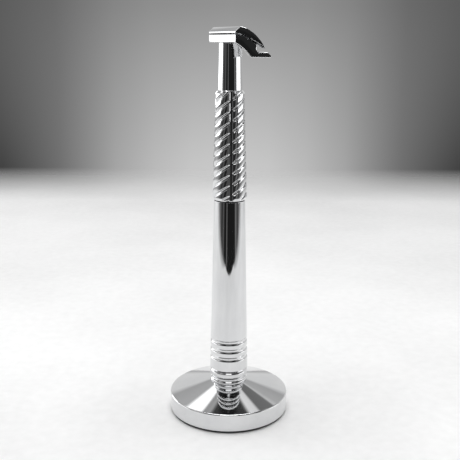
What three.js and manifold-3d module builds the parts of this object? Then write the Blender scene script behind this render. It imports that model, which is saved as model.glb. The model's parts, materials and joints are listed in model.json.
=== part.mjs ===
// A single-edge safety razor standing on a round weighted stand, in millimetres.
// +Z is up, the blade looks along +X and its length lies along Y. The origin is the centre of the
// stand's underside. The razor is a cap, blade and base plate clamped by one stud to a slim neck,
// then a rope-fluted grip sleeve and a tapered handle body with a grooved end cap. The stand is a
// thin cone-topped shell over a steel weight, with a collar and a post that the handle drops over.
import * as THREE from "three";
import { mergeVertices } from "three/addons/utils/BufferGeometryUtils.js";
import Module from "manifold-3d";

const wasm = await Module();
wasm.setup();

// ---- Driving dimensions: heights above the table ----
const PAD_TOP = 0.6;
const RIM_TOP = 6.8;
const CONE_TOP = 10.8;
const COLLAR_TOP = 15.3; // the razor's foot rests here
const POST_TOP = 25.5;
const END_CAP_TOP = 27.1;
const SLEEVE_FOOT = 76.2;
const SLEEVE_TOP = 112.6;
const NECK_TOP = 127.65; // also the underside of the base plate
const PLATE_TOP = 130;
const CAP_TOP = 132.25;

// ---- Driving dimensions: the stand ----
const RIM_RADIUS = 20.8;
const SHELL_THICKNESS = 1.5;
const CONE_INNER_RADIUS = 6.6;
const COLLAR_RADIUS = 6.5;
const POST_RADIUS = 3.3;
const POST_FLANGE_RADIUS = 4.6;
const RING_HEIGHT = 21.5; // height of the friction ring on the post
const SCREW_RADIUS = 1.2;
const FIT = 0.1; // radial clearance of parts that slide or screw together

// ---- Driving dimensions: the handle ----
const FOOT_RADIUS = 6.68;
const BODY_TAPER = 0.0232; // radius lost for each millimetre of height
const SLEEVE_RADIUS = 6.02;
const SLEEVE_TAPER = 0.0283;
const NECK_RADIUS = 4.13;
const NECK_TAPER = 0.0225;
const BUSH_RADIUS = 4.6;
const SPIGOT_RADIUS = 4;
const TIP_RADIUS = 2.9; // the threaded tip that joins neck and body
const GROOVE_PITCH = 3;
const GROOVE_DEPTH = 0.4;
const GROOVE_MOUTH = 0.75; // half width at the surface
const GROOVE_FLOOR = 0.35; // half width at the bottom
const TOP_GROOVE = END_CAP_TOP - 0.8;
const SPIGOT_LENGTH = 6; // the end cap's threaded spigot
const TIP_LENGTH = 12; // how far the neck's tip reaches below the sleeve
const FLUTES = 6;
const FLUTE_LEAD = 20.8;
const FLUTE_DEPTH = 0.4;
const CHANNELS = 4;
const CHANNEL_WIDTH = 2.1;
const CHANNEL_DEPTH = 0.5;
const FIRST_CHANNEL = THREE.MathUtils.degToRad(-85);

// ---- Driving dimensions: the head ----
const HEAD_LENGTH = 40;
const SHOULDER_X = 1.5; // where the plan starts to narrow towards the back
const BACK_X = -6.7;
const BACK_WIDTH = 11;
const GUARD_X = 12.35;
const STEP_X = 7.9; // front edge of the surface the blade lies on
const STEP_Z = 127.25;
const BLADE_SLOPE = 0.5556;
const BLADE_EDGE_X = 10.45;
const BLADE_THICKNESS = 0.1;
const SEAM = 0.3; // the gap between plate and cap, with the blade in its middle
const LIP_TOP = 124.75; // the guard lip in front of the blade
const LIP_FOOT = 123.25;
const SLOTS = 7; // lather slots through the lip
const SLOT_PITCH = 5.4;
const CAP_TIP = [10.2, 126.5];
const CAP_BEVEL_FOOT = 130.9;
const STUD_RADIUS = 2.45;
const STUD_FOOT = 121;
const PIN_RADIUS = 1.1;
const PIN_Y = 12;

const FINE = 40; // facets round an outer turned piece
const PLAIN = 24; // facets round an inner one

const bodyRadius = (z) => FOOT_RADIUS - BODY_TAPER * (z - COLLAR_TOP);
const sleeveRadius = (z) => SLEEVE_RADIUS - SLEEVE_TAPER * (z - SLEEVE_FOOT);
const neckRadius = (z) => NECK_RADIUS - NECK_TAPER * (z - SLEEVE_TOP);

// ---- Shape helpers ----

// A turned piece: its (radius, height) outline, given from the axis or the bore outwards, spun about Z.
function turned(outline, facets = FINE) {
  const points = outline.map(([r, z]) => new THREE.Vector2(r, z));
  if (outline[0][0] > 0) points.push(points[0].clone());
  return new THREE.LatheGeometry(points, facets).rotateX(Math.PI / 2);
}

// A ring with a square section.
const ring = (inner, outer, low, high, facets = PLAIN) =>
  turned([[inner, low], [outer, low], [outer, high], [inner, high]], facets);

const rod = (radius, low, high, facets = PLAIN) =>
  turned([[0, low], [radius, low], [radius, high], [0, high]], facets);

// An outline in X and Z, extruded along Y and centred on Y = 0.
function across(shape, length, curveSegments = 12) {
  const geometry = new THREE.ExtrudeGeometry(shape, { depth: length, bevelEnabled: false, curveSegments });
  return geometry.rotateX(Math.PI / 2).translate(0, length / 2, 0);
}

// An outline in X and Y, extruded upwards from low to high.
function upright(shape, low, high, curveSegments = 12) {
  const options = { depth: high - low, bevelEnabled: false, curveSegments };
  return new THREE.ExtrudeGeometry(shape, options).translate(0, 0, low);
}

// A closed skin over a stack of rings that hold the same number of points, with flat ends.
function stack(rings) {
  const count = rings[0].length;
  const corners = [];
  const middle = (one) => one.reduce((sum, p) => sum.add(p), new THREE.Vector3()).divideScalar(count);
  const face = (...points) => points.forEach((p) => corners.push(p.x, p.y, p.z));
  const bottom = rings[0];
  const top = rings[rings.length - 1];
  for (let i = 0; i < count; i += 1) {
    const j = (i + 1) % count;
    face(middle(bottom), bottom[j], bottom[i]);
    face(middle(top), top[i], top[j]);
    for (let k = 0; k + 1 < rings.length; k += 1) {
      face(rings[k][i], rings[k][j], rings[k + 1][j]);
      face(rings[k][i], rings[k + 1][j], rings[k + 1][i]);
    }
  }
  return new THREE.BufferGeometry().setAttribute("position", new THREE.Float32BufferAttribute(corners, 3));
}

function solid(geometry) {
  const loose = geometry.index ? geometry.toNonIndexed() : geometry;
  const bare = new THREE.BufferGeometry().setAttribute("position", loose.getAttribute("position"));
  const merged = mergeVertices(bare, 1e-4);
  const triVerts = new Uint32Array(merged.index.array);
  return new wasm.Manifold(new wasm.Mesh({ numProp: 3, vertProperties: merged.attributes.position.array, triVerts }));
}

function geometryOf(manifold) {
  const mesh = manifold.getMesh();
  const geometry = new THREE.BufferGeometry();
  geometry.setAttribute("position", new THREE.BufferAttribute(new Float32Array(mesh.vertProperties), 3));
  geometry.setIndex(new THREE.BufferAttribute(new Uint32Array(mesh.triVerts), 1));
  return geometry;
}

const cut = (body, ...tools) =>
  geometryOf(tools.reduce((left, tool) => left.subtract(solid(tool)), solid(body)));

// ---- Stand ----

function standShell() {
  const bore = POST_RADIUS + FIT;
  const inner = RIM_RADIUS - SHELL_THICKNESS;
  return turned([
    [bore, CONE_TOP - SHELL_THICKNESS],
    [CONE_INNER_RADIUS, CONE_TOP - SHELL_THICKNESS],
    [inner, RIM_TOP - SHELL_THICKNESS],
    [inner, PAD_TOP],
    [RIM_RADIUS - 0.3, PAD_TOP],
    [RIM_RADIUS, PAD_TOP + 0.3],
    [RIM_RADIUS, RIM_TOP - 0.25],
    [RIM_RADIUS - 0.25, RIM_TOP],
    [CONE_INNER_RADIUS, CONE_TOP],
    [bore, CONE_TOP],
  ]);
}

// A foot ring, a shallow waist and a chamfered bead, counterbored for the post's flange.
function standCollar() {
  const bore = POST_RADIUS + FIT;
  const counterbore = POST_FLANGE_RADIUS + FIT;
  return turned([
    [bore, CONE_TOP],
    [COLLAR_RADIUS, CONE_TOP],
    [COLLAR_RADIUS, CONE_TOP + 0.7],
    [COLLAR_RADIUS - 0.45, CONE_TOP + 1.2],
    [COLLAR_RADIUS - 0.45, CONE_TOP + 1.9],
    [COLLAR_RADIUS, CONE_TOP + 2.5],
    [COLLAR_RADIUS, COLLAR_TOP - 0.6],
    [COLLAR_RADIUS - 0.5, COLLAR_TOP],
    [counterbore, COLLAR_TOP],
    [counterbore, COLLAR_TOP - 2],
    [bore, COLLAR_TOP - 2],
  ]);
}

const SOCKET_FLOOR = 4.2; // where the post stands inside the weight
const SCREW_SEAT = 2.6; // the roof of the screw's recess

function standWeight() {
  const bore = POST_RADIUS + FIT;
  const outer = RIM_RADIUS - SHELL_THICKNESS - FIT;
  const top = RIM_TOP - SHELL_THICKNESS - 0.5;
  return turned(
    [
      [SCREW_RADIUS + FIT, SCREW_SEAT],
      [4, SCREW_SEAT],
      [4, PAD_TOP],
      [outer, PAD_TOP],
      [outer, top],
      [CONE_INNER_RADIUS - 0.6, top],
      [CONE_INNER_RADIUS - 0.6, CONE_TOP - SHELL_THICKNESS],
      [bore, CONE_TOP - SHELL_THICKNESS],
      [bore, SOCKET_FLOOR],
      [SCREW_RADIUS + FIT, SOCKET_FLOOR],
    ],
    PLAIN,
  );
}

// A flanged post with a groove for the friction ring and a screw hole up its middle.
function standPost() {
  const hole = SCREW_RADIUS + FIT;
  const flangeLow = COLLAR_TOP - 2;
  const flangeHigh = COLLAR_TOP - 0.2;
  return turned(
    [
      [0, SOCKET_FLOOR + 7],
      [hole, SOCKET_FLOOR + 6.2],
      [hole, SOCKET_FLOOR],
      [POST_RADIUS, SOCKET_FLOOR],
      [POST_RADIUS, flangeLow],
      [POST_FLANGE_RADIUS, flangeLow],
      [POST_FLANGE_RADIUS, flangeHigh],
      [POST_RADIUS, flangeHigh],
      [POST_RADIUS, RING_HEIGHT - 0.6],
      [POST_RADIUS - 0.5, RING_HEIGHT - 0.6],
      [POST_RADIUS - 0.5, RING_HEIGHT + 0.6],
      [POST_RADIUS, RING_HEIGHT + 0.6],
      [POST_RADIUS, POST_TOP - 0.8],
      [POST_RADIUS - 0.8, POST_TOP],
      [0, POST_TOP],
    ],
    PLAIN,
  );
}

function postRing() {
  const section = 0.32;
  const outer = POST_RADIUS + 0.18;
  const geometry = new THREE.TorusGeometry(outer - section, section, 8, PLAIN);
  return geometry.translate(0, 0, RING_HEIGHT);
}

const postWasher = () => ring(SCREW_RADIUS + FIT, 3.5, SCREW_SEAT - 0.5, SCREW_SEAT);

// A pan-head screw with a cross-shaped drive, entered from below.
function postScrew() {
  const headTop = SCREW_SEAT - 0.5;
  const headLow = PAD_TOP + 0.3;
  const body = turned(
    [
      [0, headLow],
      [2.1, headLow],
      [2.5, headLow + 0.4],
      [2.5, headTop],
      [SCREW_RADIUS, headTop],
      [SCREW_RADIUS, SOCKET_FLOOR + 5.6],
      [0, SOCKET_FLOOR + 5.6],
    ],
    PLAIN,
  );
  const slot = () => new THREE.BoxGeometry(2.6, 0.6, 1.4).translate(0, 0, headLow);
  return cut(body, slot(), slot().rotateZ(Math.PI / 2));
}

const footPad = () => rod(RIM_RADIUS - 0.5, 0, PAD_TOP, FINE);

// ---- Handle ----

// The grooved foot of the handle: a cup for the bush, with a threaded spigot above.
function handleEndCap() {
  const outline = [
    [0, POST_TOP + 0.7],
    [BUSH_RADIUS + FIT, POST_TOP + 0.7],
    [BUSH_RADIUS + FIT, COLLAR_TOP],
    [bodyRadius(COLLAR_TOP) - 0.45, COLLAR_TOP],
    [bodyRadius(COLLAR_TOP), COLLAR_TOP + 0.5],
  ];
  for (let i = 2; i >= 0; i -= 1) {
    const z = TOP_GROOVE - i * GROOVE_PITCH;
    outline.push([bodyRadius(z), z - GROOVE_MOUTH]);
    outline.push([bodyRadius(z) - GROOVE_DEPTH, z - GROOVE_FLOOR]);
    outline.push([bodyRadius(z) - GROOVE_DEPTH, z + GROOVE_FLOOR]);
    outline.push([bodyRadius(z), z + GROOVE_MOUTH]);
  }
  outline.push([bodyRadius(END_CAP_TOP), END_CAP_TOP]);
  outline.push([SPIGOT_RADIUS, END_CAP_TOP]);
  outline.push([SPIGOT_RADIUS, END_CAP_TOP + SPIGOT_LENGTH]);
  outline.push([0, END_CAP_TOP + SPIGOT_LENGTH]);
  return turned(outline);
}

const endCapBush = () => ring(POST_RADIUS + 0.3, BUSH_RADIUS, COLLAR_TOP + 0.2, POST_TOP + 0.4);

const WASHER = 0.3;

function handleBody() {
  const top = SLEEVE_FOOT - WASHER;
  const socket = SPIGOT_RADIUS + FIT;
  const hole = TIP_RADIUS + FIT;
  return turned([
    [0, END_CAP_TOP + SPIGOT_LENGTH + 0.3],
    [socket, END_CAP_TOP + SPIGOT_LENGTH + 0.3],
    [socket, END_CAP_TOP],
    [bodyRadius(END_CAP_TOP), END_CAP_TOP],
    [bodyRadius(top), top],
    [hole, top],
    [hole, top - TIP_LENGTH - 1],
    [0, top - TIP_LENGTH - 1],
  ]);
}

const sleeveWasher = () => ring(SPIGOT_RADIUS + FIT, bodyRadius(SLEEVE_FOOT) - 0.3, SLEEVE_FOOT - WASHER, SLEEVE_FOOT);

// One level of the rope pattern: broad convex lobes between narrow valleys, turned with the height.
function ropeSection(z, radius) {
  const perLobe = [0, 0.15, 0.38, 0.62, 0.85];
  const turn = ((z - SLEEVE_FOOT) / FLUTE_LEAD) * 2 * Math.PI;
  const points = [];
  for (let lobe = 0; lobe < FLUTES; lobe += 1) {
    for (const u of perLobe) {
      const angle = turn + ((lobe + u) / FLUTES) * 2 * Math.PI;
      const r = radius - FLUTE_DEPTH * Math.abs(2 * u - 1) ** 3;
      points.push(new THREE.Vector3(r * Math.cos(angle), r * Math.sin(angle), z));
    }
  }
  return points;
}

function gripSleeve() {
  const chamfer = 1;
  const levels = 20;
  const rings = [ropeSection(SLEEVE_FOOT, sleeveRadius(SLEEVE_FOOT) - 0.5)];
  for (let i = 0; i <= levels; i += 1) {
    const z = THREE.MathUtils.lerp(SLEEVE_FOOT + chamfer, SLEEVE_TOP - chamfer, i / levels);
    rings.push(ropeSection(z, sleeveRadius(z)));
  }
  rings.push(ropeSection(SLEEVE_TOP, sleeveRadius(SLEEVE_TOP) - 0.45));
  const height = SLEEVE_TOP - SLEEVE_FOOT;
  const half = 1.5; // half the radial size of the channel cutter
  const middle = (SLEEVE_FOOT + SLEEVE_TOP) / 2;
  const cutters = [];
  for (let i = 0; i < CHANNELS; i += 1) {
    const cutter = new THREE.BoxGeometry(2 * half, CHANNEL_WIDTH, height + 4);
    cutter.rotateY(-Math.atan(SLEEVE_TAPER));
    cutter.translate(sleeveRadius(middle) - CHANNEL_DEPTH + half, 0, middle);
    cutters.push(cutter.rotateZ(FIRST_CHANNEL + (i / CHANNELS) * 2 * Math.PI));
  }
  const bore = rod(SPIGOT_RADIUS + FIT, SLEEVE_FOOT - 1, SLEEVE_TOP + 1);
  return cut(stack(rings), bore, ...cutters);
}

const INSERT_RADIUS = 3.1;
const INSERT_FOOT = 118;

// The slim neck, its long spigot through the sleeve and the threaded tip that draws the handle together.
function neck() {
  return turned([
    [0, SLEEVE_FOOT - TIP_LENGTH],
    [TIP_RADIUS, SLEEVE_FOOT - TIP_LENGTH],
    [TIP_RADIUS, SLEEVE_FOOT + 0.5],
    [SPIGOT_RADIUS, SLEEVE_FOOT + 0.5],
    [SPIGOT_RADIUS, SLEEVE_TOP],
    [neckRadius(SLEEVE_TOP), SLEEVE_TOP],
    [neckRadius(NECK_TOP), NECK_TOP],
    [INSERT_RADIUS + FIT, NECK_TOP],
    [INSERT_RADIUS + FIT, INSERT_FOOT - 0.3],
    [0, INSERT_FOOT - 0.3],
  ]);
}

const neckInsert = () => ring(STUD_RADIUS + FIT, INSERT_RADIUS, INSERT_FOOT, NECK_TOP - 0.15);

// ---- Head ----

// The head's plan: straight ends in front, narrowing to a short back edge. inset moves the three back edges inwards.
function headPlan(inset = 0) {
  const run = SHOULDER_X - BACK_X;
  const rise = (HEAD_LENGTH - BACK_WIDTH) / 2;
  const side = Math.hypot(run, rise);
  const backY = BACK_WIDTH / 2 - (inset * (side - rise)) / run;
  const shoulderX = SHOULDER_X + (inset * side) / rise;
  const half = HEAD_LENGTH / 2;
  return [
    [GUARD_X + 1, -half],
    [GUARD_X + 1, half],
    [shoulderX, half],
    [BACK_X + inset, backY],
    [BACK_X + inset, -backY],
    [shoulderX, -half],
  ];
}

const planRing = (inset, z) => headPlan(inset).map(([x, y]) => new THREE.Vector3(x, y, z));

// Draws the clamp surface from the step at the front to the flat at the back, raised by lift.
function drawClampSurface(shape, lift, frontX) {
  const raised = lift * Math.hypot(1, BLADE_SLOPE);
  const slope = (x) => STEP_Z + (STEP_X - x) * BLADE_SLOPE + raised;
  const flat = PLATE_TOP + lift;
  const cornerX = STEP_X - (flat - STEP_Z - raised) / BLADE_SLOPE;
  const blend = 1.05;
  shape.lineTo(frontX, slope(frontX));
  shape.lineTo(cornerX + blend, slope(cornerX + blend));
  shape.quadraticCurveTo(cornerX, flat, cornerX - blend, flat);
  return flat;
}

// Platform, guard lip and the concave heel under them. The step in front of the blade carries lather away.
function basePlate() {
  const shape = new THREE.Shape();
  shape.moveTo(BACK_X - 1, NECK_TOP);
  shape.lineTo(1.2, NECK_TOP);
  shape.quadraticCurveTo(4.2, 126.2, 6.2, LIP_FOOT);
  shape.lineTo(GUARD_X - 0.2, LIP_FOOT);
  shape.lineTo(GUARD_X, LIP_FOOT + 0.5);
  shape.lineTo(GUARD_X - 1.1, LIP_TOP);
  shape.lineTo(8.6, LIP_TOP);
  shape.quadraticCurveTo(7.8, LIP_TOP + 0.2, 7.8, 126);
  drawClampSurface(shape, 0, STEP_X);
  shape.lineTo(BACK_X - 1, PLATE_TOP);
  const outline = stack([planRing(0, LIP_FOOT - 1), planRing(0, PLATE_TOP + 1)]);
  const blank = geometryOf(solid(across(shape, HEAD_LENGTH + 2)).intersect(solid(outline)));
  const slots = [];
  const slotX = 9.5;
  for (let i = 0; i < SLOTS; i += 1) {
    const y = (i - (SLOTS - 1) / 2) * SLOT_PITCH;
    const slot = new THREE.Shape();
    slot.absarc(slotX, y + 1.1, 0.65, 0, Math.PI, false);
    slot.absarc(slotX, y - 1.1, 0.65, Math.PI, 2 * Math.PI, false);
    slots.push(upright(slot, LIP_FOOT - 1, LIP_TOP + 1, 6));
  }
  const hole = (radius, y) => rod(radius, NECK_TOP - 2, PLATE_TOP + 1, PLAIN).translate(0, y, 0);
  const holes = [hole(STUD_RADIUS + 2 * FIT, 0), hole(PIN_RADIUS + 2 * FIT, PIN_Y), hole(PIN_RADIUS + 2 * FIT, -PIN_Y)];
  const neckSeat = rod(neckRadius(NECK_TOP) + 0.25, LIP_FOOT - 1, NECK_TOP, FINE);
  return cut(blank, neckSeat, ...slots, ...holes);
}

// A crowned cap with bevelled back edges, whose front lip presses the blade onto the plate.
function cap() {
  const shape = new THREE.Shape();
  shape.moveTo(BACK_X - 1, CAP_TOP);
  shape.lineTo(BACK_X - 1, PLATE_TOP + SEAM);
  const underside = new THREE.Shape();
  underside.moveTo(...CAP_TIP);
  drawClampSurface(underside, SEAM, CAP_TIP[0] - 0.05);
  underside.lineTo(BACK_X - 1, PLATE_TOP + SEAM);
  for (const point of underside.getPoints(8).reverse()) shape.lineTo(point.x, point.y);
  shape.bezierCurveTo(8.4, 129.8, 5.2, CAP_TOP, 2.4, CAP_TOP);
  const bevel = CAP_TOP - CAP_BEVEL_FOOT;
  const outline = stack([planRing(0, LIP_FOOT), planRing(0, CAP_BEVEL_FOOT), planRing(bevel, CAP_TOP + 1e-3)]);
  return geometryOf(solid(across(shape, HEAD_LENGTH + 2, 14)).intersect(solid(outline)));
}

const capStud = () => rod(STUD_RADIUS, STUD_FOOT, PLATE_TOP + SEAM);

const capPin = (y) => rod(PIN_RADIUS, NECK_TOP + 0.15, PLATE_TOP + SEAM).translate(0, y, 0);

// Half a double-edge blade: a bent strip with end tabs, and notches round the stud and pins.
function blade() {
  const low = (SEAM - BLADE_THICKNESS) / 2;
  const backX = 0.43;
  const strip = new THREE.Shape();
  const upper = new THREE.Shape();
  strip.moveTo(BLADE_EDGE_X, STEP_Z + (STEP_X - BLADE_EDGE_X) * BLADE_SLOPE + low * Math.hypot(1, BLADE_SLOPE));
  drawClampSurface(strip, low, BLADE_EDGE_X - 0.01);
  strip.lineTo(backX, PLATE_TOP + low);
  upper.moveTo(BLADE_EDGE_X - 0.3, STEP_Z + (STEP_X - BLADE_EDGE_X + 0.3) * BLADE_SLOPE + 0.23);
  drawClampSurface(upper, low + BLADE_THICKNESS, BLADE_EDGE_X - 0.35);
  upper.lineTo(backX, PLATE_TOP + low + BLADE_THICKNESS);
  for (const point of upper.getPoints(8).reverse()) strip.lineTo(point.x, point.y);
  const plan = new THREE.Shape();
  const tabX = 5.6;
  const tab = 21.5;
  const edge = 18.65;
  plan.moveTo(0, -tab);
  plan.lineTo(tabX, -tab);
  plan.lineTo(tabX + 0.6, -edge);
  plan.lineTo(BLADE_EDGE_X + 1, -edge);
  plan.lineTo(BLADE_EDGE_X + 1, edge);
  plan.lineTo(tabX + 0.6, edge);
  plan.lineTo(tabX, tab);
  plan.lineTo(0, tab);
  const blank = solid(across(strip, 2 * tab + 2, 8)).intersect(solid(upright(plan, LIP_FOOT, CAP_TOP)));
  const notch = (radius, y) => rod(radius, LIP_FOOT, CAP_TOP).translate(0, y, 0);
  return cut(geometryOf(blank), notch(STUD_RADIUS + 0.3, 0), notch(PIN_RADIUS + 0.3, PIN_Y), notch(PIN_RADIUS + 0.3, -PIN_Y));
}

// ---- Finishes ----

const finish = (color, roughness, metalness) =>
  new THREE.MeshStandardMaterial({ color, roughness, metalness, flatShading: true });
const chrome = finish(0xd9dadc, 0.06, 1);
const steel = finish(0xb4b6b8, 0.3, 1);
const edgeSteel = finish(0xc8cacc, 0.2, 1);
const brass = finish(0xc2a15a, 0.35, 1);
const nylon = finish(0xe8e6df, 0.5, 0);
const rubber = finish(0x202122, 0.8, 0);

// ---- Assembly ----

const razorAndStand = new THREE.Group();

function place(group, name, geometry, material) {
  const mesh = new THREE.Mesh(geometry, material);
  mesh.name = name;
  group.add(mesh);
}

const stand = new THREE.Group();
place(stand, "foot_pad", footPad(), rubber);
place(stand, "stand_shell", standShell(), chrome);
place(stand, "stand_collar", standCollar(), chrome);
place(stand, "stand_weight", standWeight(), steel);
place(stand, "stand_post", standPost(), steel);
place(stand, "post_ring", postRing(), rubber);
place(stand, "post_washer", postWasher(), steel);
place(stand, "post_screw", postScrew(), steel);

const handle = new THREE.Group();
place(handle, "handle_end_cap", handleEndCap(), chrome);
place(handle, "end_cap_bush", endCapBush(), nylon);
place(handle, "handle_body", handleBody(), chrome);
place(handle, "sleeve_washer", sleeveWasher(), rubber);
place(handle, "grip_sleeve", gripSleeve(), chrome);
place(handle, "neck", neck(), chrome);
place(handle, "neck_insert", neckInsert(), brass);

const head = new THREE.Group();
place(head, "base_plate", basePlate(), chrome);
place(head, "blade", blade(), edgeSteel);
place(head, "cap", cap(), chrome);
place(head, "cap_stud", capStud(), steel);
place(head, "cap_pin_left", capPin(PIN_Y), steel);
place(head, "cap_pin_right", capPin(-PIN_Y), steel);

razorAndStand.add(stand, handle, head);

export default razorAndStand;
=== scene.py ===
"""Looks for the single-edge safety razor on its round stand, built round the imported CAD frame."""

import json
import math

import bmesh
import bpy
from mathutils import Matrix, Vector

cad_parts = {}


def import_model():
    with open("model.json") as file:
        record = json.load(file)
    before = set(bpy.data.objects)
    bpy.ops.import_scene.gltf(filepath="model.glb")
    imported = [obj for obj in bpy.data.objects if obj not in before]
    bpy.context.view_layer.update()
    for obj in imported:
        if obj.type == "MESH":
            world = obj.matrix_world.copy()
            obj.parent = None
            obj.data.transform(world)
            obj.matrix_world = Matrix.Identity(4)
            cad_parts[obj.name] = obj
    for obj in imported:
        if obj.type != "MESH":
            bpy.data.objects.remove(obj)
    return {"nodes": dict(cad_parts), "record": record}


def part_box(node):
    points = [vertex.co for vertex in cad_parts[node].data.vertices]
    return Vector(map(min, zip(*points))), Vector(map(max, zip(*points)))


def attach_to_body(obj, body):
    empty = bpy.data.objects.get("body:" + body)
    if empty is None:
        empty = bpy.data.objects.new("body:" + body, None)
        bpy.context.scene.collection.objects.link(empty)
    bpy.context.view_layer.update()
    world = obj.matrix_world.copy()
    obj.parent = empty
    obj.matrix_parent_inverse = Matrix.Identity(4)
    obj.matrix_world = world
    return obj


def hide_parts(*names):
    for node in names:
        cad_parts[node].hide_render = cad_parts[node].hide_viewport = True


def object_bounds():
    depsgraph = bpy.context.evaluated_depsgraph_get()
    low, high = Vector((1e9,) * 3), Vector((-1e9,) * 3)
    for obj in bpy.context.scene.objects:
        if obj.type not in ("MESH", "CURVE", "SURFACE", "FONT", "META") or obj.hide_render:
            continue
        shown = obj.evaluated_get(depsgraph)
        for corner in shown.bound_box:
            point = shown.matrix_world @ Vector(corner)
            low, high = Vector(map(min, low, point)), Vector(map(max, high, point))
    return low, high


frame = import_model()
cad_low, cad_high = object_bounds()

MM = 0.001
HEIGHT = cad_high.z

# ---- Camera: close to the object, level with the head and pitched down ----
CAMERA_DISTANCE = 250 * MM
CAMERA_HEIGHT = 0.959 * HEIGHT
CAMERA_PITCH = math.radians(13.8)
CAMERA_ROLL = math.radians(0.3)
CAMERA_ASIDE = 0.2 * MM
SENSOR = 36.0
FOCAL_LENGTH = 58.9

# ---- Mesh detail ----
ROUND_STEPS = 160
FILLET_STEPS = 4
SAME_PLACE = 1e-7  # points closer than this are one point
STRAIGHT = 0.004  # radians that an outline may turn and still count as straight
SECTION_ANGLE = -math.pi / 2 + 0.001  # just beside a seam between facets

# ---- The grip sleeve's rope pattern ----
SLEEVE_TAPER = 0.0283  # loss of radius per height
SLEEVE_BORE = 4.1 * MM
SLEEVE_ALLOWANCE = 0.02 * MM  # added to the radius that the CAD sleeve's box gives
SLEEVE_CHAMFER = 1.0 * MM
CHAMFER_SLOPE = 0.75
SLEEVE_COLUMNS = 396
SLEEVE_ROWS = 300
FLUTES = 6
FLUTE_LEAD = 20.8 * MM
FLUTE_DEPTH = 0.42 * MM
VALLEY_SHARE = 0.34  # share of a lobe's pitch taken by the valley
LOBE_CROWN = 0.12 * MM  # how far a lobe's middle stands above its sides
CHANNELS = 4
FIRST_CHANNEL = math.radians(-85)  # -90 degrees faces the camera
CHANNEL_FLOOR = 0.3 * MM  # half width of the channel's floor
CHANNEL_EDGE = 1.3 * MM  # half width where its sides reach the full radius
CHANNEL_DEPTH = 0.58 * MM
CHANNEL_BLEND = 0.05 * MM  # softens the edge between channel and rope

# ---- The stud's thread ----
THREAD_PITCH = 0.8 * MM
THREAD_DEPTH = 0.4 * MM
THREAD_COLUMNS = 48
THREAD_ROWS_A_TURN = 12

# ---- Corner fillets of the turned nodes ----
TURNED = {
    "foot_pad": 0.1 * MM,
    "stand_shell": 0.2 * MM,
    "stand_collar": 0.25 * MM,
    "stand_weight": 0.2 * MM,
    "stand_post": 0.15 * MM,
    "post_ring": 0.3 * MM,
    "post_washer": 0.1 * MM,
    "handle_end_cap": 0.3 * MM,
    "end_cap_bush": 0.15 * MM,
    "handle_body": 0.1 * MM,
    "sleeve_washer": 0.05 * MM,
    "neck": 0.12 * MM,
    "neck_insert": 0.12 * MM,
}

# ---- Edge bevels of the other nodes ----
PIN_EDGE = 0.15 * MM
HEAD_EDGE = 0.2 * MM
BLADE_EDGE = 0.02 * MM
SCREW_EDGE = 0.06 * MM
BEVEL_STEPS = 3
ONE_PLANE = math.radians(0.6)  # faces that turn less than this are joined
SHARP_TURN = 35.0  # degrees
SLIGHT_TURN = 20.0
LONG_EDGE = 1.6 * MM  # a slight turn is rounded only on an edge longer than this
CAP_LONG_EDGE = 0.3 * MM

# ---- The satin faces that clamp the blade, their dark colour painted shade for the seam ----
CLAMP_LOW = 0.95 * HEIGHT  # they lie above this
FACING = 0.5  # least share of a face's normal that points at the blade

# ---- Tabletop, in metres ----
TABLE_NEAR = -0.21
TABLE_FAR = 0.56
TABLE_SIDE = 0.9
TABLE_FADE_FAR = (0.37, 0.54)
FRONT_EDGE = -0.205  # where it ends in front of the object
FRONT_HALF_WIDTH = 0.1  # beyond this the front edge turns back and grows softer
FRONT_SLANT = 0.25
FRONT_SOFTNESS = 0.006
CORNER_SOFTNESS = 0.7

# ---- Lights, in metres ----
LIT_PLACE = Vector((0, 0, 0.8 * HEIGHT))
# azimuth in degrees from the camera's side, positive to the right, then distance, height, size, brightness
ROUND_LIGHTS = {
    "left_softbox": (-107, 0.55, 0.155, (0.62, 0.17), 1.8),
    "right_softbox": (84, 0.55, 0.155, (0.44, 0.17), 1.8),
    "left_strip": (-18, 0.6, 0.15, (0.07, 0.5), 0.1),
    "side_strip": (-44, 0.6, 0.15, (0.14, 0.5), 0.06),
    "right_strip": (46, 0.6, 0.15, (0.14, 0.5), 0.12),
}
# place, target, size, brightness
OVERHEAD_LIGHTS = {
    "top_softbox": ((0, 0.04, 0.7), (0, 0.04, 0), (0.5, 0.4), 4.7),
    "front_softbox": ((0, -0.37, 0.6), (0, 0, 0), (0.34, 0.09), 1.15),
}
WATTS_PER_BRIGHTNESS = 4  # for each square metre of lamp

# ---- What the metal mirrors: (position, brightness) stops ----
# the first goes from the camera's side, 0, to behind the object, 1
FRONT_TO_BACK = [(0.0, 0.014), (0.2, 0.016), (0.42, 0.25), (0.6, 0.5), (1.0, 0.5)]
# the next four go by the upward share of the direction, 0 at the horizon and 1 overhead
HORIZON = [(0.0, 1.0), (0.06, 1.55), (0.4, 1.55), (0.48, 0.9), (0.62, 1.0)]
LEFT_WALL = [(0.69, 1.0), (0.72, 3.0), (0.8, 3.0), (0.81, 0.7), (0.832, 0.9), (0.842, 0.1)]
RIGHT_WALL = [(0.66, 1.3), (0.68, 0.4), (0.775, 0.35), (0.79, 1.6), (0.822, 1.8), (0.835, 0.1)]
CEILING = [(0.95, 0.1), (0.97, 1.0)]

# ---- The backdrop that the camera sees: (position, level) stops ----
BACKDROP_LEVEL = 0.29
BACKDROP_LOWER = [(0.345, 1.0), (0.55, 0.0)]  # by the upward share of the direction, plus a half
# the next two go by how far the direction turns aside, to either hand
BACKDROP_MIDDLE = [(0.0, 1.0), (0.1, 0.93), (0.15, 0.8), (0.22, 0.5), (0.29, 0.36)]
BACKDROP_WINGS = [(0.36, 0.4), (0.5, 0.7), (0.7, 0.75)]
BACKDROP_SINK = [(0.05, 0.0), (0.15, 0.2), (0.22, 0.45), (0.29, 0.75), (0.36, 0.6), (0.5, 0.1)]

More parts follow.
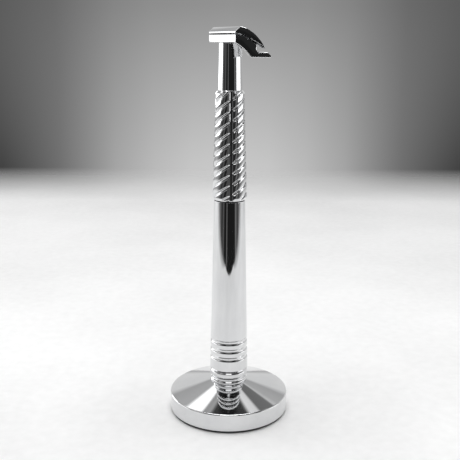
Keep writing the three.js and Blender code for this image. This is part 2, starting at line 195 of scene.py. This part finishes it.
BODY_OF = {node: body for body, members in frame["record"]["behaviour"]["bodies"].items() for node in members}
SLOT_OF = {row["node"]: row["material_slot"] for row in frame["record"]["subparts"]}


# ---------------------------------------------------------------- materials


class Graph:
    """A short way to build a node tree."""

    def __init__(self, tree):
        self.tree = tree

    def add(self, kind, **settings):
        node = self.tree.nodes.new(kind)
        for name, value in settings.items():
            setattr(node, name, value)
        return node

    def link(self, source, target):
        self.tree.links.new(source, target)

    def feed(self, socket, value):
        """Links another node's output to a socket, or sets the socket to a number."""
        if isinstance(value, bpy.types.NodeSocket):
            self.link(value, socket)
        else:
            socket.default_value = value

    def math(self, operation, a, b=0.0):
        node = self.add("ShaderNodeMath", operation=operation)
        for socket, value in zip(node.inputs, (a, b)):
            self.feed(socket, value)
        return node.outputs[0]

    def choose(self, factor, at_zero, at_one):
        """One value where factor is 0 and another where it is 1."""
        node = self.add("ShaderNodeMix", data_type="FLOAT")
        for name, value in (("Factor", factor), ("A", at_zero), ("B", at_one)):
            self.feed(node.inputs[name], value)
        return node.outputs["Result"]

    def split(self, vector):
        node = self.add("ShaderNodeSeparateXYZ")
        self.link(vector, node.inputs[0])
        return node.outputs

    def ramp(self, value, stops):
        """Grey or colour stops, each (position, level or colour)."""
        node = self.add("ShaderNodeValToRGB")
        elements = node.color_ramp.elements
        while len(elements) < len(stops):
            elements.new(0.5)
        for element, (position, level) in zip(elements, stops):
            element.position = position
            colour = (level,) * 3 if isinstance(level, (int, float)) else level
            element.color = (*colour, 1)
        self.link(value, node.inputs["Fac"])
        return node.outputs["Color"]


class Nodes(Graph):
    """A new material, its shader and the textures that lie in the piece's own coordinates."""

    def __init__(self, name, metallic=0.0):
        self.material = bpy.data.materials.new(name)
        self.material.use_nodes = True
        super().__init__(self.material.node_tree)
        self.shader = self.tree.nodes["Principled BSDF"]
        self.shader.inputs["Metallic"].default_value = metallic
        self.position = self.add("ShaderNodeTexCoord").outputs["Object"]

    def noise(self, scale, stretch=(1, 1, 1), detail=4.0, roughness=0.55):
        mapping = self.add("ShaderNodeMapping")
        mapping.inputs["Scale"].default_value = stretch
        self.link(self.position, mapping.inputs["Vector"])
        texture = self.add("ShaderNodeTexNoise")
        texture.inputs["Scale"].default_value = scale
        texture.inputs["Detail"].default_value = detail
        texture.inputs["Roughness"].default_value = roughness
        self.link(mapping.outputs[0], texture.inputs["Vector"])
        return texture.outputs["Fac"]

    def vary(self, name, value, stops):
        """Lets one of the shader's inputs follow a texture through a ramp."""
        self.link(self.ramp(value, stops), self.shader.inputs[name])

    def bump(self, height, distance, strength):
        node = self.add("ShaderNodeBump")
        node.inputs["Distance"].default_value = distance
        node.inputs["Strength"].default_value = strength
        self.link(height, node.inputs["Height"])
        self.link(node.outputs["Normal"], self.shader.inputs["Normal"])


def polished_chrome():
    """Mirror plate: fine polishing lines and faint handling haze in its roughness."""
    m = Nodes("polished_chrome", metallic=1.0)
    m.vary("Base Color", m.noise(90), [(0.3, (0.69, 0.695, 0.705)), (0.7, (0.74, 0.745, 0.75))])
    haze = m.noise(160, detail=6)
    lines = m.noise(2600, stretch=(1, 1, 0.05), detail=2)
    mixed = m.math("ADD", m.math("MULTIPLY", haze, 0.7), m.math("MULTIPLY", lines, 0.3))
    m.vary("Roughness", mixed, [(0.35, 0.025), (0.62, 0.055), (0.75, 0.1)])
    m.bump(lines, distance=0.0015 * MM, strength=0.25)
    return m.material


def shade_painted_satin():
    """Satin plate for the surfaces that clamp the blade, its grain along the blade's length. Its roughness is
    a satin finish, and its dark colour is painted shade for the seam between cap and plate.
    """
    m = Nodes("shade_painted_satin", metallic=1.0)
    lapping = m.noise(1500, stretch=(1, 0.1, 1), detail=3)
    # painted shade: the dark base colour stands for the shade in the seam between cap and plate
    m.vary("Base Color", lapping, [(0.3, 0.21), (0.7, 0.25)])
    m.vary("Roughness", lapping, [(0.3, 0.3), (0.7, 0.34)])
    return m.material


def turned_steel():
    """Lathe-cut steel: fine rings along the height."""
    m = Nodes("turned_steel", metallic=1.0)
    rings = m.noise(900, stretch=(0.03, 0.03, 4), detail=3)
    m.vary("Base Color", rings, [(0.3, (0.5, 0.51, 0.52)), (0.7, (0.68, 0.69, 0.7))])
    m.vary("Roughness", rings, [(0.3, 0.2), (0.7, 0.38)])
    m.bump(rings, distance=0.004 * MM, strength=0.5)
    return m.material


def blade_steel(edge_x, body_x):
    """Satin strip steel with a finely ground band along the cutting edge."""
    m = Nodes("blade_steel", metallic=1.0)
    along = m.math("DIVIDE", m.math("SUBTRACT", m.split(m.position)["X"], body_x), edge_x - body_x)
    ground = m.ramp(along, [(0.86, 0.0), (0.88, 1.0)])
    grain = m.noise(2200, stretch=(1, 0.04, 1), detail=3)
    grind = m.noise(3000, stretch=(0.05, 1, 0.05), detail=1)
    shine = m.math("ADD", m.math("MULTIPLY", grain, 0.6), m.math("MULTIPLY", ground, 0.4))
    m.vary("Base Color", shine, [(0.2, (0.48, 0.49, 0.51)), (0.75, (0.82, 0.83, 0.85))])
    m.vary("Roughness", grain, [(0.3, 0.16), (0.7, 0.3)])
    m.bump(grind, distance=0.001 * MM, strength=0.08)
    return m.material


def machined_brass():
    """Brass with fine lathe rings."""
    m = Nodes("brass", metallic=1.0)
    rings = m.noise(1200, stretch=(0.05, 0.05, 3), detail=3)
    m.vary("Base Color", rings, [(0.3, (0.62, 0.46, 0.2)), (0.7, (0.8, 0.65, 0.36))])
    m.vary("Roughness", rings, [(0.3, 0.22), (0.7, 0.4)])
    m.bump(rings, distance=0.003 * MM, strength=0.4)
    return m.material


def moulded_nylon():
    """Off-white nylon with a faint mottle and a little light through it."""
    m = Nodes("nylon")
    mottle = m.noise(500, detail=5)
    m.vary("Base Color", mottle, [(0.3, (0.78, 0.77, 0.73)), (0.7, (0.86, 0.85, 0.82))])
    m.vary("Roughness", mottle, [(0.3, 0.42), (0.7, 0.6)])
    m.shader.inputs["Subsurface Weight"].default_value = 0.15
    m.shader.inputs["Subsurface Radius"].default_value = (0.001, 0.001, 0.0008)
    m.bump(mottle, distance=0.01 * MM, strength=0.4)
    return m.material


def black_rubber():
    """Matt black rubber with a fine speckle."""
    m = Nodes("black_rubber")
    speckle = m.noise(1800, detail=5)
    m.vary("Base Color", speckle, [(0.3, 0.03), (0.75, 0.07)])
    m.vary("Roughness", speckle, [(0.3, 0.55), (0.7, 0.85)])
    m.bump(speckle, distance=0.03 * MM, strength=0.6)
    return m.material


blade_low, blade_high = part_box("blade")
MATERIALS = {
    "polished_chrome": polished_chrome(),
    "turned_steel": turned_steel(),
    "blade_steel": blade_steel(blade_high.x, blade_low.x),
    "brass": machined_brass(),
    "nylon": moulded_nylon(),
    "black_rubber": black_rubber(),
}
# satin plate whose dark colour is painted shade for the seam between cap and plate
SHADE_PAINTED_SATIN = shade_painted_satin()


# ---------------------------------------------------------------- pieces


def attach(piece, node):
    """Gives a new piece the body, slot and material of the CAD node that it stands for."""
    piece.data.materials.clear()
    piece.data.materials.append(MATERIALS[SLOT_OF[node]])
    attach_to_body(piece, BODY_OF[node])
    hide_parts(node)
    return piece


def new_piece(name, bm):
    """A smooth-shaded object made from a mesh under construction."""
    bmesh.ops.recalc_face_normals(bm, faces=bm.faces)
    for face in bm.faces:
        face.smooth = True
    data = bpy.data.meshes.new(name)
    bm.to_mesh(data)
    bm.free()
    piece = bpy.data.objects.new(name, data)
    bpy.context.scene.collection.objects.link(piece)
    return piece


def ring(bm, columns, z, radius_at, centre=(0.0, 0.0)):
    """One level of a piece: vertices round an axis, each at the radius that its angle asks for."""
    corners = []
    for k in range(columns):
        angle = 2 * math.pi * k / columns
        radius = radius_at(angle)
        place = (centre[0] + radius * math.cos(angle), centre[1] + radius * math.sin(angle), z)
        corners.append(bm.verts.new(place))
    return corners


def skin(bm, rings):
    """Faces between each level and the next. A level may be a single point on the axis."""
    for lower, upper in zip(rings, rings[1:]):
        columns = max(len(lower), len(upper))
        for k in range(columns):
            n = (k + 1) % columns
            below = [lower[k % len(lower)], lower[n % len(lower)]]
            above = [upper[n % len(upper)], upper[k % len(upper)]]
            unique = list(dict.fromkeys(below + above))
            if len(unique) > 2:
                bm.faces.new(unique)


def section_edges(bm, out):
    """The edges where a half plane, from the axis towards out, cuts the mesh."""
    everything = [*bm.verts, *bm.edges, *bm.faces]
    across = out.cross(Vector((0, 0, 1)))
    cut = bmesh.ops.bisect_plane(bm, geom=everything, plane_co=(0, 0, 0), plane_no=across)
    edges = [e for e in cut["geom_cut"] if isinstance(e, bmesh.types.BMEdge)]
    return [e for e in edges if sum((v.co for v in e.verts), Vector()).dot(out) > 0]


def in_order(edges, out):
    """The vertices of a chain of edges, in order, and whether the chain closes on itself."""
    links = {}
    for edge in edges:
        a, b = edge.verts
        links.setdefault(a, []).append(b)
        links.setdefault(b, []).append(a)
    ends = [v for v, near in links.items() if len(near) == 1]
    start = min(ends, key=lambda v: v.co.z) if ends else max(links, key=lambda v: v.co.dot(out))
    chain, seen = [start], {start}
    while True:
        onward = [v for v in links[chain[-1]] if v not in seen]
        if not onward:
            return chain, not ends
        chain.append(onward[0])
        seen.add(onward[0])


def outline_of(node):
    """The (radius, height) outline of a turned CAD node, in order, and whether it closes on itself."""
    out = Vector((math.cos(SECTION_ANGLE), math.sin(SECTION_ANGLE), 0))
    bm = bmesh.new()
    bm.from_mesh(frame["nodes"][node].data)
    bmesh.ops.remove_doubles(bm, verts=bm.verts, dist=1e-6)
    chain, closed = in_order(section_edges(bm, out), out)
    points = [Vector((max(v.co.dot(out), 0.0), v.co.z)) for v in chain]
    bm.free()
    return drop_straight(points, closed), closed


def drop_straight(points, closed):
    """Leaves out the points that lie on a straight stretch or repeat their neighbour."""
    kept = []
    count = len(points)
    for i, point in enumerate(points):
        if not closed and i in (0, count - 1):
            kept.append(point)
            continue
        before, after = points[i - 1] - point, points[(i + 1) % count] - point
        if before.length < SAME_PLACE or after.length < SAME_PLACE:
            continue
        if before.angle(after) < math.pi - STRAIGHT:
            kept.append(point)
    return kept


def rounded(points, closed, fillet):
    """The outline with a small curve at each corner and a support point on each side of it."""
    result = []
    count = len(points)
    for i, point in enumerate(points):
        if not closed and i in (0, count - 1):
            result.append(point)
            continue
        before, after = points[i - 1] - point, points[(i + 1) % count] - point
        bend = math.pi - before.angle(after)
        room = 0.3 * min(before.length, after.length)
        reach = min(fillet * math.tan(bend / 2) + 1e-9, room)
        start, end = point + before.normalized() * reach, point + after.normalized() * reach
        result.append(point + before.normalized() * reach * 1.4)
        steps = max(2, round(FILLET_STEPS * bend / (math.pi / 2)))
        for k in range(steps + 1):
            t = k / steps
            result.append(start * (1 - t) ** 2 + point * 2 * t * (1 - t) + end * t**2)
        result.append(point + after.normalized() * reach * 1.4)
    return result


def revolved(name, points, closed):
    """A turned piece: its outline swept round the axis."""
    bm = bmesh.new()
    rings = []
    for radius, z in points:
        if radius < 1e-6:
            rings.append([bm.verts.new((0, 0, z))])
        else:
            rings.append(ring(bm, ROUND_STEPS, z, lambda angle: radius))
    if closed:
        rings.append(rings[0])
    skin(bm, rings)
    return new_piece(name, bm)


def turned_piece(node, fillet):
    """A smooth copy of a turned CAD node, with rounded corners."""
    points, closed = outline_of(node)
    return attach(revolved(node + "_fine", rounded(points, closed, fillet), closed), node)


def rope_radius(angle, rise, radius):
    """The rope pattern alone: right-handed lobes with narrow valleys between them."""
    pitch = 2 * math.pi / FLUTES
    phase = ((angle - 2 * math.pi * rise / FLUTE_LEAD) / pitch) % 1.0
    from_valley = min(phase, 1 - phase) / (VALLEY_SHARE / 2)
    valley = max(0.0, 1 - from_valley**3)
    from_crown = abs(2 * phase - 1)
    return radius - FLUTE_DEPTH * valley - LOBE_CROWN * from_crown**2


def channel_radius(angle, radius):
    """The straight channels alone: a narrow floor between sides that slope out past the sleeve's radius."""
    spacing = 2 * math.pi / CHANNELS
    turn = (angle - FIRST_CHANNEL + spacing / 2) % spacing - spacing / 2
    off = abs(turn) * radius
    rise = max(0.0, off - CHANNEL_FLOOR) / (CHANNEL_EDGE - CHANNEL_FLOOR)
    return radius - CHANNEL_DEPTH + CHANNEL_DEPTH * rise


def sleeve_radius(angle, rise, radius):
    """The lower of rope and channel, with a small blend where they meet."""
    rope = rope_radius(angle, rise, radius)
    channel = channel_radius(angle, radius)
    near = CHANNEL_BLEND - abs(channel - rope)
    lower = min(channel, rope)
    if near > 0:
        return lower - near**2 / (4 * CHANNEL_BLEND)
    return lower


def sleeve_level(bm, z, foot, top, foot_radius):
    """One level of the sleeve, which tapers upwards and is chamfered at both ends."""
    radius = foot_radius - SLEEVE_TAPER * (z - foot)
    from_end = min(z - foot, top - z)
    limit = radius - CHAMFER_SLOPE * max(0.0, SLEEVE_CHAMFER - from_end)
    return ring(bm, SLEEVE_COLUMNS, z, lambda angle: min(limit, sleeve_radius(angle, z - foot, radius)))


def grip_sleeve():
    """The tapered sleeve with its rope pattern and straight channels."""
    low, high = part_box("grip_sleeve")
    foot, top = low.z, high.z
    foot_radius = high.y + SLEEVE_ALLOWANCE
    bm = bmesh.new()
    rings = [ring(bm, SLEEVE_COLUMNS, foot, lambda angle: SLEEVE_BORE)]
    for i in range(SLEEVE_ROWS + 1):
        rings.append(sleeve_level(bm, foot + (top - foot) * i / SLEEVE_ROWS, foot, top, foot_radius))
    rings.append(ring(bm, SLEEVE_COLUMNS, top, lambda angle: SLEEVE_BORE))
    rings.append(rings[0])
    skin(bm, rings)
    return attach(new_piece("grip_sleeve_fine", bm), "grip_sleeve")


def thread_radius(angle, z, low, radius):
    """A right-handed thread. Its first turn starts one depth lower, so that it leads in."""
    phase = (z / THREAD_PITCH - angle / (2 * math.pi)) % 1.0
    lead_in = min(1.0, (z - low) / THREAD_PITCH)
    return radius - THREAD_DEPTH * (1 - abs(2 * phase - 1)) - THREAD_DEPTH * (1 - lead_in)


def threaded_rod(node):
    """A rod with a thread in place of a plain CAD cylinder."""
    low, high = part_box(node)
    centre = (low + high) / 2
    radius = (high.x - low.x) / 2
    rows = round((high.z - low.z) / THREAD_PITCH) * THREAD_ROWS_A_TURN
    bm = bmesh.new()
    rings = []
    for i in range(rows + 1):
        z = low.z + (high.z - low.z) * i / rows
        rings.append(ring(bm, THREAD_COLUMNS, z, lambda angle: thread_radius(angle, z, low.z, radius), centre))
    skin(bm, rings)
    bm.faces.new(list(reversed(rings[0])))
    bm.faces.new(rings[-1])
    return attach(new_piece(node + "_thread", bm), node)


def softened_copy(node, width, long_edge=LONG_EDGE):
    """A copy of a CAD node with its flat faces joined and its edges rounded, so that they catch light.

    Sharp edges are always rounded, and slight ones only when they are long, which leaves small arcs alone.
    """
    bm = bmesh.new()
    bm.from_mesh(frame["nodes"][node].data)
    bmesh.ops.remove_doubles(bm, verts=bm.verts, dist=2e-6)
    bmesh.ops.dissolve_limit(bm, angle_limit=ONE_PLANE, verts=bm.verts, edges=bm.edges)
    weight = bm.edges.layers.float.new("bevel_weight_edge")
    for edge in bm.edges:
        turn = math.degrees(edge.calc_face_angle(0.0))
        slight_but_long = turn > SLIGHT_TURN and edge.calc_length() > long_edge
        edge[weight] = float(turn > SHARP_TURN or slight_but_long)
    piece = new_piece(node + "_fine", bm)
    bevel = piece.modifiers.new("edges", "BEVEL")
    bevel.width = width
    bevel.segments = BEVEL_STEPS
    bevel.limit_method = "WEIGHT"
    bevel.use_clamp_overlap = False
    bevel.harden_normals = True
    return attach(piece, node)


def shade_painted_satin_faces(piece, way):
    """Gives the clamp surface the satin plate with painted shade: the faces high on the piece that look up (1)
    or down (-1).
    """
    piece.data.materials.append(SHADE_PAINTED_SATIN)
    for face in piece.data.polygons:
        if way * face.normal.z > FACING and face.center.z > CLAMP_LOW:
            face.material_index = 1


for node, fillet in TURNED.items():
    turned_piece(node, fillet)
for node in ("cap_pin_left", "cap_pin_right"):
    softened_copy(node, PIN_EDGE)
grip_sleeve()
threaded_rod("cap_stud")
# the clamp faces of plate and cap take the satin plate, whose dark colour is painted seam shade
shade_painted_satin_faces(softened_copy("base_plate", HEAD_EDGE), 1)
shade_painted_satin_faces(softened_copy("cap", HEAD_EDGE, CAP_LONG_EDGE), -1)
softened_copy("blade", BLADE_EDGE)
softened_copy("post_screw", SCREW_EDGE)


# ---------------------------------------------------------------- table and backdrop


def table_front(m, sides):
    """0 past the tabletop's front edge and 1 on it: nearly sharp in the middle, soft at the corners."""
    beyond = m.math("SUBTRACT", m.math("ABSOLUTE", sides["X"]), FRONT_HALF_WIDTH)
    beside = m.math("MAXIMUM", beyond, 0.0)
    edge = m.math("ADD", m.math("MULTIPLY", beside, FRONT_SLANT), FRONT_EDGE)
    softness = m.math("ADD", m.math("MULTIPLY", beside, CORNER_SOFTNESS), FRONT_SOFTNESS)
    in_front = m.math("DIVIDE", m.math("SUBTRACT", sides["Y"], edge), softness)
    return m.ramp(in_front, [(0.0, 0.0), (1.0, 1.0)])


def floor_material():
    """A white matt tabletop with a faint mottle, whose far edge and front corners fade away softly."""
    m = Nodes("tabletop")
    broad = m.noise(9, detail=5)
    fine = m.noise(260, detail=4)
    mixed = m.math("ADD", m.math("MULTIPLY", broad, 0.7), m.math("MULTIPLY", fine, 0.3))
    m.vary("Base Color", mixed, [(0.3, 0.8), (0.62, 0.92)])
    m.shader.inputs["Roughness"].default_value = 0.75
    m.shader.inputs["Specular IOR Level"].default_value = 0.2
    m.bump(fine, distance=0.1 * MM, strength=0.3)
    sides = m.split(m.position)
    fade_from, fade_to = TABLE_FADE_FAR
    far_fade = m.ramp(sides["Y"], [(fade_from, 1.0), (fade_to, 0.0)])
    m.link(m.math("MULTIPLY", table_front(m, sides), far_fade), m.shader.inputs["Alpha"])
    return m.material


def tabletop():
    """The flat pale surface that the object stands on."""
    near_corners = [(-TABLE_SIDE, TABLE_NEAR, 0), (TABLE_SIDE, TABLE_NEAR, 0)]
    far_corners = [(TABLE_SIDE, TABLE_FAR, 0), (-TABLE_SIDE, TABLE_FAR, 0)]
    bm = bmesh.new()
    bm.faces.new([bm.verts.new(corner) for corner in near_corners + far_corners])
    floor = new_piece("tabletop", bm)
    floor.data.materials.append(floor_material())


def area_light(name, place, target, size, brightness):
    """A rectangular lamp that faces its target. Its brightness doesn't depend on its size."""
    data = bpy.data.lights.new(name, "AREA")
    data.shape = "RECTANGLE"
    data.size, data.size_y = size
    data.energy = brightness * WATTS_PER_BRIGHTNESS * size[0] * size[1]
    light = bpy.data.objects.new(name, data)
    light.location = place
    light.rotation_euler = (Vector(target) - Vector(place)).to_track_quat("-Z", "Y").to_euler()
    bpy.context.scene.collection.objects.link(light)


def around(azimuth, distance, z):
    """A place at an azimuth from the camera's side, positive to the right."""
    a = math.radians(azimuth)
    return Vector((distance * math.sin(a), -distance * math.cos(a), z))


def lights():
    """Softboxes and dim strips round the object, one lamp overhead and one high in front."""
    for name, (azimuth, distance, z, size, brightness) in ROUND_LIGHTS.items():
        area_light(name, around(azimuth, distance, z), LIT_PLACE, size, brightness)
    for name, (place, target, size, brightness) in OVERHEAD_LIGHTS.items():
        area_light(name, place, target, size, brightness)


def mirrored_room(g, toward):
    """What the metal mirrors: dark on the camera's side, with bands of light that differ left and right."""
    behind = g.math("MULTIPLY", g.math("ADD", toward["Y"], 1.0), 0.5)
    round_about = g.ramp(behind, FRONT_TO_BACK)
    on_left = g.math("LESS_THAN", toward["X"], 0.0)
    right = g.ramp(toward["Z"], HORIZON + RIGHT_WALL + CEILING)
    left = g.ramp(toward["Z"], HORIZON + LEFT_WALL + CEILING)
    return g.math("MULTIPLY", round_about, g.choose(on_left, right, left))


def seen_backdrop(g, toward):
    """What the camera sees behind the object: grey, lighter low down, darkest some way to each side."""
    lower = g.ramp(g.math("ADD", toward["Z"], 0.5), BACKDROP_LOWER)
    aside = g.math("ABSOLUTE", toward["X"])
    sink = g.math("MULTIPLY", g.ramp(aside, BACKDROP_SINK), lower)
    shade = g.ramp(aside, BACKDROP_MIDDLE + BACKDROP_WINGS)
    across = g.math("MULTIPLY", shade, g.math("SUBTRACT", 1.0, sink))
    above = g.math("ADD", g.math("MULTIPLY", lower, BACKDROP_LEVEL), BACKDROP_LEVEL)
    return g.math("MULTIPLY", across, above)


def world():
    """An invented room for the metal to mirror, and a different grey backdrop for the camera alone."""
    studio = bpy.data.worlds.new("studio")
    bpy.context.scene.world = studio
    studio.use_nodes = True
    studio.node_tree.nodes.clear()
    g = Graph(studio.node_tree)
    toward = g.split(g.add("ShaderNodeTexCoord").outputs["Generated"])
    to_camera = g.add("ShaderNodeLightPath").outputs["Is Camera Ray"]
    background = g.add("ShaderNodeBackground")
    g.link(g.choose(to_camera, mirrored_room(g, toward), seen_backdrop(g, toward)), background.inputs["Color"])
    g.link(background.outputs[0], g.add("ShaderNodeOutputWorld").inputs["Surface"])


def camera():
    """The camera, in front of the object on the -Y side."""
    data = bpy.data.cameras.new("camera")
    data.sensor_width = SENSOR
    data.lens = FOCAL_LENGTH
    data.clip_start = 0.01
    viewer = bpy.data.objects.new("camera", data)
    viewer.location = (CAMERA_ASIDE, -CAMERA_DISTANCE, CAMERA_HEIGHT)
    tilt = Matrix.Rotation(math.pi / 2 - CAMERA_PITCH, 4, "X")
    viewer.rotation_euler = (tilt @ Matrix.Rotation(CAMERA_ROLL, 4, "Z")).to_euler()
    bpy.context.scene.collection.objects.link(viewer)
    bpy.context.scene.camera = viewer


camera()
tabletop()
world()
lights()

bpy.context.scene.view_settings.view_transform = "Standard"
